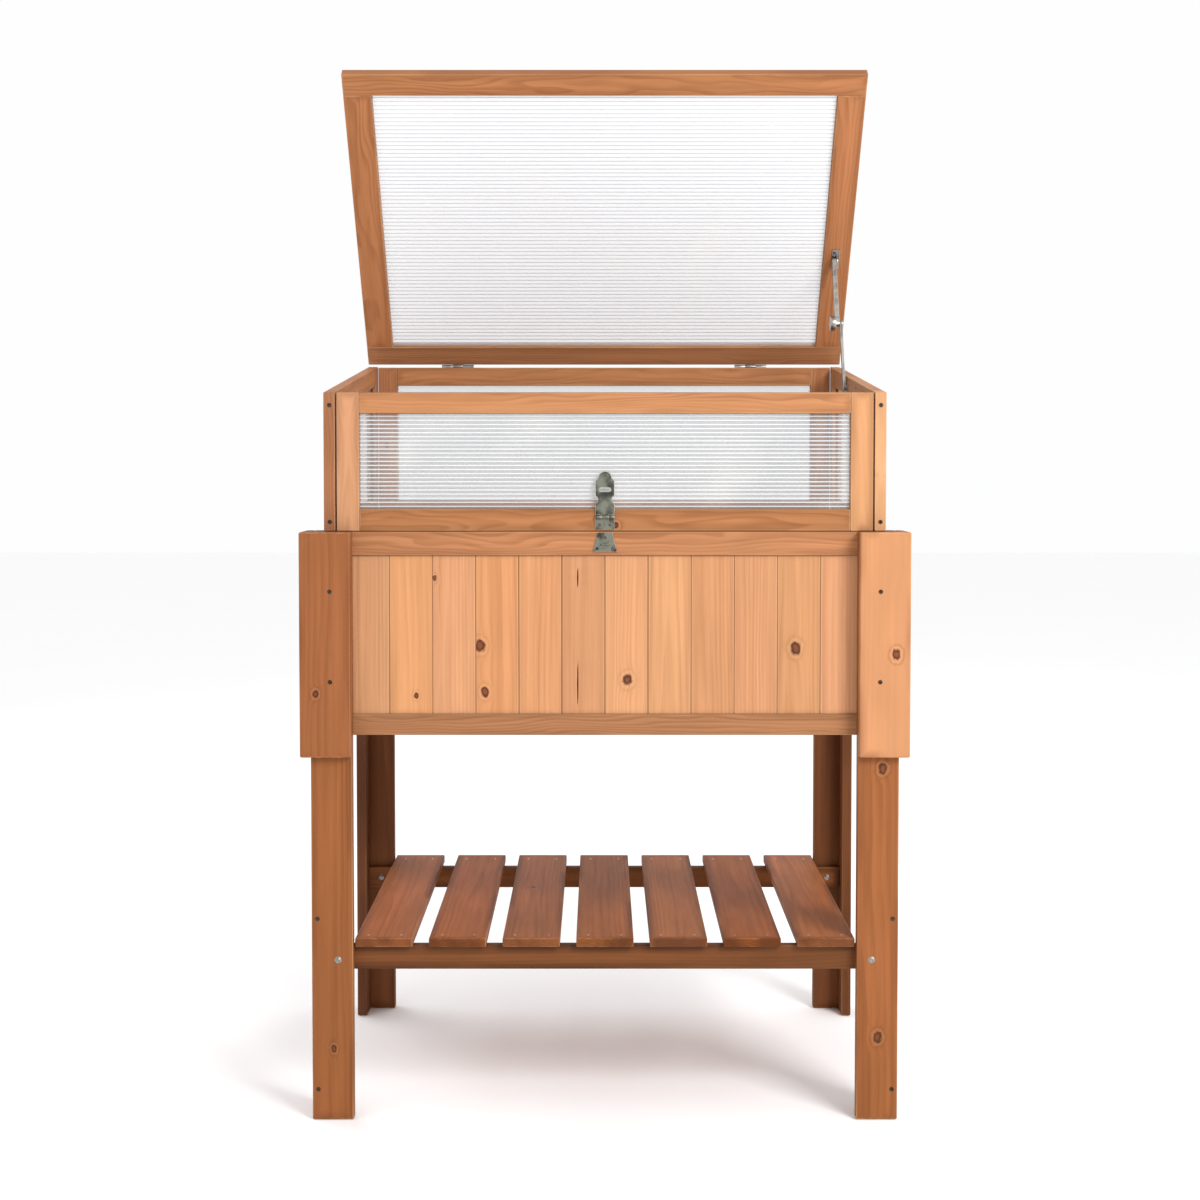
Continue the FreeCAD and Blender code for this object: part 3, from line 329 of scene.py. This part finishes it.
def wood(name, early, late, bare, spacing, wander, waves, contrast, mottle, edge_darkness):
    """Stained softwood: growth rings about a pith, wavy along the board, with streaks, fibres,
    knots and worn edges."""
    g = Graph(name)
    local, seed = g.attribute("local"), g.attribute("seed")
    u, v, w = g.split(local)
    seed_u, seed_v, seed_w = g.split(seed)
    brightness, fade_and_painted_light, joint_shade = g.split(g.attribute("tone"))
    gaps = [g.math("SUBTRACT", half, g.math("ABSOLUTE", place))
            for half, place in zip(g.split(g.attribute("half")), (u, v, w))]

    along = g.math("MULTIPLY_ADD", seed_u, LOG_LENGTH, u)
    across = g.math("ADD", v, g.math("MULTIPLY_ADD", seed_v, 2 * PITH_ASIDE, -PITH_ASIDE))
    depth = g.math("ADD", w, g.math("MULTIPLY_ADD", seed_w, -PITH_SPREAD, -PITH_NEAR))
    place = g.make("CombineXYZ", {0: along, 1: across, 2: depth})
    wobble = g.grain(place, waves, WOBBLE_ACROSS, WOBBLE_DETAIL)
    patch, streak, fibre = (g.grain(place, *waviness) for waviness in (PATCH, STREAK, FIBRE))
    blotch, ragged = g.grain(place, *BLOTCH), g.grain(place, *RAGGED)

    outline = g.math("MULTIPLY_ADD", ragged, KNOT_RAGGED, -KNOT_RAGGED / 2)
    knot_gap = g.math("ADD", knot_gap_of(g, u, v), outline)
    push = g.math("EXPONENT", g.math("MULTIPLY", g.math("POWER", knot_gap, 2.0), PUSH_FALL))
    core = g.smooth(knot_gap, *CORE_FALL, 1.0, 0.0)
    knot_rim = g.smooth(knot_gap, *RIM_RISE)
    halo = g.smooth(knot_gap, *HALO_FALL, HALO_SHARE, 0.0)
    contour = g.math("MULTIPLY", g.smooth(knot_gap, *CONTOUR_RISE),
                     g.smooth(knot_gap, *CONTOUR_FALL, CONTOUR_SHARE, 0.0))

    rings = g.math("MULTIPLY_ADD", wobble, wander, g.length(across, depth))
    rings = g.math("MULTIPLY_ADD", along, RING_DRIFT, rings)
    rings = g.math("MULTIPLY_ADD", push, KNOT_PUSH, rings)
    phase = g.math("FRACT", g.math("DIVIDE", rings, spacing))
    ring = g.math("MULTIPLY", g.smooth(phase, *LATE_RISE), g.smooth(phase, *LATE_FALL, 1.0, 0.0))
    ring = g.math("MULTIPLY", ring, g.smooth(patch, 0.35, 0.65, 0.35, 1.0))

    dark = g.math("MULTIPLY_ADD", ring, contrast, -BASE_SHARE - CONTRAST_SHARE * contrast)
    dark = g.math("MULTIPLY_ADD", streak, STREAK_SHARE, dark)
    dark = g.math("MULTIPLY_ADD", fibre, FIBRE_SHARE, dark, clamp=True)
    colour = g.mix(dark, early, late)
    colour = g.mix(g.math("MULTIPLY", push, KNOT_TINT), colour, late)
    # Paler towards bare wood: faded stain, and painted light on the right-hand boards.
    colour = g.mix(fade_and_painted_light, colour, bare)
    colour = g.mix(halo, colour, bare)
    colour = g.mix(contour, colour, late)

    wide, narrow = g.math("MAXIMUM", *gaps[:2]), g.math("MINIMUM", *gaps[:2])
    edge_gap = g.math("MAXIMUM", narrow, g.math("MINIMUM", wide, gaps[2]))
    wear = g.math("MULTIPLY", g.smooth(edge_gap, *WEAR_REACH, 1.0, 0.0),
                  g.smooth(streak, 0.3, 0.65))
    colour = g.mix(g.math("MULTIPLY", wear, WEAR_SHARE), colour, bare)
    colour = g.mix(core, colour, g.mix(knot_rim, KNOT_MIDDLE, KNOT_RIM))
    # Darker in patches within a short reach of the board's edges.
    edge_darkening = g.math("MULTIPLY", g.smooth(narrow, *EDGE_DARK_REACH, edge_darkness, 0.0),
                    g.smooth(blotch, 0.38, 0.62))
    colour = g.mix(edge_darkening, colour, shaded(late, EDGE_DARK_SHARE))
    # Painted shade: a dark line along the long edges, where boards meet.
    joint_shadow = g.math("MULTIPLY", g.smooth(gaps[1], *JOINT_SHADOW_REACH, 1.0, 0.0), joint_shade)
    colour = g.mix(joint_shadow, colour, shaded(late, JOINT_SHADOW_SHARE))
    # Painted shade inside a split, darker where it lies deeper below the face.
    inside = g.math("MULTIPLY", g.smooth(g.math("MINIMUM", narrow, gaps[2]), *SPLIT_SHADOW_REACH),
                    g.math("GREATER_THAN", joint_shade, SPLIT_SHADOW_LEAST_JOINT))
    colour = g.mix(inside, colour, shaded(late, SPLIT_SHADOW_SHARE))

    end = g.smooth(gaps[0], *END_REACH, END_SHADE, 1.0)
    # Brightness holds painted shade on the rear legs and shelf rails, painted light on the right
    # side.
    light = g.math("MULTIPLY", g.math("MULTIPLY_ADD", blotch, mottle, 1 - mottle / 2), brightness)
    hue = g.math("MULTIPLY_ADD", g.math("SUBTRACT", seed_u, blotch), HUE_SPREAD, 0.5)
    saturation = g.math("MULTIPLY_ADD", seed_w, SATURATION_SPREAD, LEAST_SATURATION)
    colour = g.make("HueSaturation", {"Hue": hue, "Saturation": saturation,
                                      "Value": g.math("MULTIPLY", light, end), "Color": colour})

    height = g.math("MULTIPLY_ADD", fibre, 0.5, g.math("MULTIPLY", ring, 0.3))
    height = g.math("MULTIPLY_ADD", core, -0.5, height)
    rough = g.math("MULTIPLY_ADD", fibre, 0.18, g.math("MULTIPLY_ADD", wear, 0.12, 0.46))
    return g.surface(Base_Color=colour, Roughness=rough, Normal=g.bump(height, 0.4, 0.0004),
                     Specular_IOR_Level=0.16)


def polycarbonate(name, pitch, film, ribbed, wall, web):
    """Twin-wall sheet: a clear film with more opaque ribs, lightly scuffed and dusty."""
    g = Graph(name)
    local = g.attribute("local")
    _, v, w = g.split(local)
    turn = g.math("FRACT", g.math("MULTIPLY_ADD", v, 1 / pitch, 0.5))
    off_rib = g.math("ABSOLUTE", g.math("SUBTRACT", turn, 0.5))
    ribbed_face = g.math("GREATER_THAN", w, 0.0)
    rib = g.math("MULTIPLY", g.smooth(off_rib, *RIB_EDGE, 1.0, 0.0), ribbed_face)
    dust, scuff = g.grain(local, *DUST_GRAIN), g.grain(local, *SCUFF_GRAIN)
    colour = g.mix(rib, wall, web)
    colour = g.mix(g.smooth(dust, 0.5, 0.8, 0.0, MOST_DUST), colour, DUST_COLOUR)
    alpha = g.math("MULTIPLY_ADD", ribbed_face, film * (1 - PLAIN_FACE), film * PLAIN_FACE)
    alpha = g.math("MULTIPLY_ADD", dust, DUST_FILM, alpha)
    alpha = g.math("MULTIPLY_ADD", rib, ribbed - film, alpha, clamp=True)
    bump = g.bump(g.math("MULTIPLY_ADD", scuff, 0.15, rib), 0.2, 0.0002)
    rough = g.math("MULTIPLY_ADD", scuff, 0.2, 0.18)
    return g.surface(Base_Color=colour, Roughness=rough, Alpha=alpha, Normal=bump, IOR=1.58)


def metal(name, base, dull, worn, rough):
    """Plated steel with dull patches, fine scratches and brighter metal along its edges."""
    g = Graph(name)
    place = g.make("TexCoord", output="Object")
    patch = g.grain(place, *METAL_PATCH)
    scratch = g.noise(g.stretch(place, SCRATCHES), detail=SCRATCH_DETAIL)
    rounded = g.make("Bevel", {"Radius": SHADED_ROUNDING}, samples=6)
    flat = g.make("NewGeometry", output="Normal")
    bend = g.make("VectorMath", {0: rounded, 1: flat}, output="Value", operation="DOT_PRODUCT")
    edge = g.math("MULTIPLY", g.smooth(bend, 0.88, 0.995, 1.0, 0.0), g.smooth(patch, 0.25, 0.5))
    colour = g.mix(g.smooth(patch, 0.4, 0.66), base, dull)
    colour = g.mix(edge, colour, worn)
    patched = g.math("MULTIPLY_ADD", patch, 0.25, rough)
    roughness = g.math("ADD", patched, g.math("MULTIPLY", scratch, 0.1))
    return g.surface(Base_Color=colour, Metallic=1.0, Roughness=roughness,
                     Normal=g.bump(scratch, 0.25, 0.0001))


MATERIALS = {slot: wood(slot + "_stain", **looks) for slot, looks in WOODS.items()}
MATERIALS.update({slot: metal(slot + "_worn", *looks) for slot, looks in METALS.items()})
MATERIALS.update({kind: polycarbonate("polycarbonate_" + kind, **looks)
                  for kind, looks in SHEETS.items()})


# Solids of the frame

def solids(node):
    """The closed solids of a CAD node, each a list of rings of points. Its faces come solid by
    solid, so a solid ends where every edge so far has its opposite."""
    mesh = NODES[node].data
    points = [tuple(round(c, 6) for c in vertex.co) for vertex in mesh.vertices]
    found, rings, open_edges = [], [], set()
    for face in mesh.polygons:
        ring = [points[index] for index in face.vertices]
        rings.append(ring)
        for edge in zip(ring, ring[1:] + ring[:1]):
            if edge[::-1] in open_edges:
                open_edges.remove(edge[::-1])
            else:
                open_edges.add(edge)
        if not open_edges:
            found.append(rings)
            rings = []
    return found


def flats(rings):
    """The flat faces of a solid, largest first: (area, normal, middle)."""
    groups = {}
    for a, b, c in (tuple(map(Vector, ring[:3])) for ring in rings):
        cross = (b - a).cross(c - a)
        if cross.length < 1e-12:
            continue
        normal = cross.normalized()
        key = (*(round(n, 2) for n in normal), round(normal.dot(a), 4))
        area, turned, middle = groups.get(key, (0.0, Vector(), Vector()))
        size = cross.length / 2
        groups[key] = (area + size, turned + cross, middle + (a + b + c) / 3 * size)
    faces = [(area, turned.normalized(), middle / area) for area, turned, middle in groups.values()]
    return sorted(faces, key=lambda face: -face[0])


def welded(rings):
    """One solid as a bmesh, with its triangles merged into flat faces."""
    bm = bmesh.new()
    corners = {}
    for ring in rings:
        for point in ring:
            if point not in corners:
                corners[point] = bm.verts.new(point)
        bm.faces.new([corners[point] for point in ring])
    bm.normal_update()
    bmesh.ops.dissolve_limit(bm, angle_limit=math.radians(1), verts=bm.verts[:], edges=bm.edges[:])
    return bm


class Board:
    """A solid's own directions: u along the grain, v across it and w through the thickness."""

    def __init__(self, rings):
        self.bm = welded(rings)
        longest = max(self.bm.edges, key=lambda edge: edge.calc_length())
        self.u = (longest.verts[1].co - longest.verts[0].co).normalized()
        if max(self.u, key=abs) < 0:
            self.u.negate()
        self.w = next(normal for _, normal, _ in flats(rings) if abs(normal.dot(self.u)) < 0.1)
        self.v = self.w.cross(self.u).normalized()
        axes = (self.u, self.v, self.w)
        spans = [[vertex.co.dot(axis) for vertex in self.bm.verts] for axis in axes]
        self.half = Vector([(max(span) - min(span)) / 2 for span in spans])
        self.centre = sum((axis * (max(span) + min(span)) / 2
                           for axis, span in zip(axes, spans)), Vector())

    def local(self, point):
        offset = point - self.centre
        return Vector((offset.dot(self.u), offset.dot(self.v), offset.dot(self.w)))

    def face(self, direction):
        """Turns the board over if its w points away from a direction."""
        if self.w.dot(direction) < 0:
            self.v, self.w = -self.v, -self.w

    def on_face(self, vertex):
        return abs(abs(self.local(vertex.co).z) - self.half.z) < SAME

    def cut(self, axis, place):
        """Cuts every face along a plane, and keeps both sides."""
        geometry = self.bm.verts[:] + self.bm.edges[:] + self.bm.faces[:]
        bmesh.ops.bisect_plane(self.bm, geom=geometry, dist=SNAP, plane_co=place, plane_no=axis)


class Pile:
    """Points, faces and per-point vectors of a piece under construction."""

    def __init__(self, names):
        self.points, self.faces, self.values = [], [], {name: [] for name in names}

    def add(self, bm, **values):
        bm.verts.index_update()
        start = len(self.points)
        for vertex in bm.verts:
            self.points.append(vertex.co.copy())
            for name, value in values.items():
                self.values[name].append(value(vertex.co) if callable(value) else value)
        self.faces += [[start + vertex.index for vertex in face.verts] for face in bm.faces]
        bm.free()

    def piece(self, name, node, material, body=None):
        mesh = bpy.data.meshes.new(name)
        mesh.from_pydata(self.points, [], self.faces)
        for key, values in self.values.items():
            layer = mesh.attributes.new(key, "FLOAT_VECTOR", "POINT")
            layer.data.foreach_set("vector", [number for value in values for number in value])
        mesh.materials.append(material)
        mesh.polygons.foreach_set("use_smooth", [True] * len(mesh.polygons))
        mesh.set_sharp_from_angle(angle=math.radians(50))
        made = bpy.data.objects.new(name, mesh)
        bpy.context.scene.collection.objects.link(made)
        even = made.modifiers.new("even_normals", "WEIGHTED_NORMAL")
        even.keep_sharp = True
        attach(made, body or BODY_OF[node])
        if node:
            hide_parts(node)


# Boards

def ease_edges(board, width):
    """Rounds the long outer edges and corners of a board, but not its grooves and holes."""
    picked = []
    for edge in board.bm.edges:
        if len(edge.link_faces) != 2 or not edge.is_convex or edge.calc_length() < SHORTEST_EASED:
            continue
        if edge.calc_face_angle() < math.radians(45):
            continue
        first, last = (board.local(vertex.co) for vertex in edge.verts)
        rise = abs(first.z - last.z)
        around = all(board.on_face(vertex) for vertex in edge.verts) and rise < MM
        through = abs(rise - 2 * board.half.z) < SAME
        if around or through:
            picked.append(edge)
    width = min(width, MOST_EASE * board.half.z * 2 / MM) * MM
    bmesh.ops.bevel(board.bm, geom=picked, offset=width, offset_type="OFFSET", segments=3,
                    profile=0.5, affect="EDGES", clamp_overlap=True)


def knots_of(node, board):
    """Two knots for a board, as (u, v, radius): those of the list, or now and then one by chance,
    and NO_KNOT, far off the board, for each one missing."""
    found = []
    for x, z, radius in KNOTS.get(node, []):
        place = board.local(Vector((x * MM, board.centre.y, z * MM)))
        if abs(place.x) < board.half.x and abs(place.y) < board.half.y:
            found.append((place.x, place.y, radius * MM))
    if node not in KNOTS and CHANCE.random() < KNOT_CHANCE:
        reach = board.half.y - KNOT_MARGIN
        radius = CHANCE.uniform(*KNOT_RADII) * MM
        u = CHANCE.uniform(-KNOT_SPREAD, KNOT_SPREAD) * board.half.x
        found.append((u, CHANCE.uniform(-reach, reach), radius))
    return (found + [NO_KNOT, NO_KNOT])[:2]


def split_board(board, x, low, high):
    """Opens a narrow split along a front plank, deepest at its middle and closed at both ends."""
    middle = board.local(Vector((x * MM, board.centre.y, (low + high) / 2 * MM)))
    if abs(middle.y) > board.half.y - SPLIT_MARGIN * MM:
        return
    reach, half_width = (high - low) / 2 * MM, SPLIT_HALF_WIDTH * MM
    cuts = [(board.v, middle.y + side * half_width) for side in (-1, 0, 1)]
    cuts += [(board.u, middle.x + share * reach) for share in SPLIT_STATIONS]
    for axis, offset in cuts:
        board.cut(axis, board.centre + axis * offset)
    for vertex in board.bm.verts:
        place = board.local(vertex.co)
        along = abs(place.x - middle.x) / reach
        in_split = abs(place.y - middle.y) < SAME and along < 0.99
        if in_split and board.on_face(vertex) and vertex.co.y < board.centre.y:
            vertex.co -= board.w * math.copysign(SPLIT_DEPTH * MM * (1 - along ** 2), place.z)


def make_boards(node):
    slot = SLOT_OF[node]
    pile = Pile(("local", "half", "seed", "tone", "knot_a", "knot_b"))
    brightness, fade_and_painted_light, joint_shade = TONES.get(node, (1.0, 0.0, JOINT_SHADES.get(slot, 0.0)))
    ease = COVER_EASE if node.startswith("corner_cover") else EASE[slot]
    for rings in solids(node):
        board = Board(rings)
        knot_a, knot_b = knots_of(node, board)
        seed = [CHANCE.random() for _ in range(3)]
        tone = (brightness * CHANCE.uniform(*BRIGHTNESS_RANGE), fade_and_painted_light + CHANCE.uniform(0, MOST_FADE),
                joint_shade * (LEAST_JOINT_SHADE + (1 - LEAST_JOINT_SHADE) * seed[1]))
        ease_edges(board, ease)
        if node == "planter_front_planks":
            for split in SPLITS:
                split_board(board, *split)
        pile.add(board.bm, local=board.local, half=board.half, seed=seed, tone=tone,
                 knot_a=knot_a, knot_b=knot_b)
    pile.piece(node + "_boards", node, MATERIALS[slot])


# Glazing

def make_sheet(node):
    """A twin-wall sheet: a closed slab with a shallow groove over each rib, on both faces. Its
    ribbed face is turned to the front or outward."""
    kind = "lid" if node == "lid_pane" else "sides"
    pitch = SHEETS[kind]["pitch"]
    board = Board(solids(node)[0])
    board.face(Vector((board.centre.x, -1, 0)))
    count = int(board.half.y / pitch)
    for step in range(-count, count + 1):
        for side in (-GROOVE_HALF_WIDTH, 0, GROOVE_HALF_WIDTH):
            board.cut(board.v, board.centre + board.v * (step + side) * pitch)
    for vertex in board.bm.verts:
        place = board.local(vertex.co)
        off = place.y / pitch - round(place.y / pitch)
        if abs(off) < 0.02 and abs(place.y) < board.half.y - MM and board.on_face(vertex):
            vertex.co -= board.w * math.copysign(GROOVE_DEPTH, place.z)
    pile = Pile(("local",))
    pile.add(board.bm, local=board.local)
    pile.piece(node + "_sheet", node, MATERIALS[kind])


# Screws and nails

def cross_depth(x, y, radius):
    """How deep the cross recess is at a place on a head, from 0 to 1."""
    def inside(distance, reach):
        return min(1.0, max(0.0, 2.2 - 1.6 * abs(distance) / reach))
    arm, length = CROSS_WIDTH * radius, CROSS_LENGTH * radius
    return max(inside(x, arm) * inside(y, length), inside(y, arm) * inside(x, length))


def circle(radius):
    for side in range(HEAD_SIDES):
        angle = 2 * math.pi * side / HEAD_SIDES
        yield radius * math.cos(angle), radius * math.sin(angle)


def add_screw(pile, head, axis, radius, rise, shank=0, length=0, sunk=False):
    """A cross-head screw, or only its head if it has no length. head is the middle of the head's
    seat or flush top, and axis points out of the work."""
    turn = axis.to_track_quat("Z", "Y").to_matrix()
    bm = bmesh.new()
    recess = SUNK_RECESS * radius if sunk else DOMED_RECESS * rise
    rings = []
    for band in HEAD_BANDS:
        top = rise * (1 - band ** DOME)
        rings.append([(x, y, top - recess * cross_depth(x, y, radius))
                      for x, y in circle(band * radius)])

    def lathe(size, height):
        rings.append([(x, y, height) for x, y in circle(size)])

    if length > 0:
        lathe(shank, -CONE_DEPTH * radius if sunk else -SHANK_START)
        height = THREAD_START
        while height > -length + THREAD_PITCH:
            lathe(shank * THREAD_ROOT, height)
            lathe(shank, height - THREAD_PITCH / 2)
            height -= THREAD_PITCH
        lathe(shank * SCREW_TIP, -length)
    else:
        lathe(radius, -CAP_BACK)
    loops = [[bm.verts.new(head + turn @ Vector(point)) for point in ring] for ring in rings]
    centre = bm.verts.new(head + turn @ Vector((0, 0, rise - recess)))
    for side in range(HEAD_SIDES):
        after = (side + 1) % HEAD_SIDES
        bm.faces.new((centre, loops[0][side], loops[0][after]))
        for inner, outer in zip(loops, loops[1:]):
            bm.faces.new((inner[side], outer[side], outer[after], inner[after]))
    bm.faces.new(loops[-1][::-1])
    bmesh.ops.recalc_face_normals(bm, faces=bm.faces[:])
    pile.add(bm)


def make_screws(node):
    """Each screw is measured on its solid: a flush head has all of it behind its largest flat
    face, a cap is only a dome, and a bolt has its head on one side of its seat and its shank on
    the other."""
    pile = Pile(())
    for rings in solids(node):
        _, normal, middle = flats(rings)[0]
        points = [Vector(point) for ring in rings for point in ring]
        depths = [(point - middle).dot(normal) for point in points]
        wide = max(((point - middle) - normal * (point - middle).dot(normal)).length
                   for point in points)
        below, above = -min(depths), max(depths)
        if above > LEAST_BOLT:
            add_screw(pile, middle, -normal, wide, below, BOLT_SHANK, above)
        elif below < MOST_CAP:
            add_screw(pile, middle, -normal, wide, below)
        else:
            add_screw(pile, middle - normal * SCREW_SINK * MM, normal, wide * SCREW_FIT, 0,
                      SCREW_SHANK, below - SCREW_SHORT, sunk=True)
    # Screws other than the shelf bolts take the near-black metal, painted shade of their holes.
    slot = "zinc_steel" if node == "shelf_bolts" else "dark_screw"
    pile.piece(node + "_cross_head", node, MATERIALS[slot])


def make_nails():
    """Two nails through each slat into each shelf rail, with low domed heads."""
    pile = Pile(())
    rails = [Board(rings).centre.y for rings in solids("shelf_rails")]
    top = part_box("shelf_slats")[1].z
    for rings in solids("shelf_slats"):
        slat = Board(rings)
        for y in rails:
            for side in (-1, 1):
                x = slat.centre.x + side * NAIL_ASIDE + CHANCE.uniform(-1, 1) * NAIL_STRAY
                add_screw(pile, Vector((x, y, top)), Vector((0, 0, 1)), NAIL_RADIUS, NAIL_RISE)
    pile.piece("shelf_nails", None, MATERIALS["zinc_steel"], body="stand")


# Hinges, hasp and stay

def dress_metal(name, slot):
    """Gives a CAD node its metal and rounds its edges."""
    node = NODES[name]
    node.material_slots[0].link = "OBJECT"
    node.material_slots[0].material = MATERIALS[slot]
    weld = node.modifiers.new("weld", "WELD")
    weld.merge_threshold = SNAP
    rounding = node.modifiers.new("rounded_edges", "BEVEL")
    rounding.width, rounding.segments, rounding.limit_method = METAL_ROUNDING, 2, "ANGLE"
    rounding.angle_limit = math.radians(50)


# Stage

def make_stage():
    mesh = bpy.data.meshes.new("studio_floor")
    half = FLOOR_HALF
    corners = [(-half, -half, -MM), (half, -half, -MM), (half, half, -MM), (-half, half, -MM)]
    mesh.from_pydata(corners, [], [(0, 1, 2, 3)])
    floor = bpy.data.objects.new("studio_floor", mesh)
    bpy.context.scene.collection.objects.link(floor)
    g = Graph("studio_floor")
    mottling = g.noise(g.make("TexCoord", output="Object"), scale=3.0)
    colour = g.mix(mottling, *FLOOR_COLOURS)
    mesh.materials.append(g.surface(Base_Color=colour, Roughness=0.8))

    world = bpy.data.worlds.new("studio")
    world.use_nodes = True
    background = world.node_tree.nodes["Background"]
    background.inputs["Color"].default_value = WORLD_COLOUR
    background.inputs["Strength"].default_value = WORLD_STRENGTH
    bpy.context.scene.world = world
    bpy.context.scene.view_settings.view_transform = "Standard"


def make_light(name, place, target, size, power):
    lamp = bpy.data.lights.new(name, "AREA")
    lamp.size, lamp.energy = size, power
    light = bpy.data.objects.new(name, lamp)
    light.location = place
    light.rotation_mode = "QUATERNION"
    light.rotation_quaternion = (Vector(target) - Vector(place)).to_track_quat("-Z", "Y")
    bpy.context.scene.collection.objects.link(light)


def make_camera():
    lens = bpy.data.cameras.new("camera")
    lens.lens, lens.sensor_width, lens.shift_y = LENS, SENSOR, CAMERA_SHIFT
    camera = bpy.data.objects.new("camera", lens)
    camera.location = CAMERA_PLACE
    camera.rotation_euler = (math.radians(90 - CAMERA_DIP), 0, 0)
    bpy.context.scene.collection.objects.link(camera)
    bpy.context.scene.camera = camera


# Making

make_camera()
make_stage()
for name, light in LIGHTS.items():
    make_light(name, *light)

for name in sorted(NODES):
    slot = SLOT_OF[name]
    if slot in WOODS:
        make_boards(name)
    elif slot == "polycarbonate":
        make_sheet(name)
    elif name.endswith("_screws") or name == "shelf_bolts":
        make_screws(name)
    else:
        dress_metal(name, slot)
make_nails()
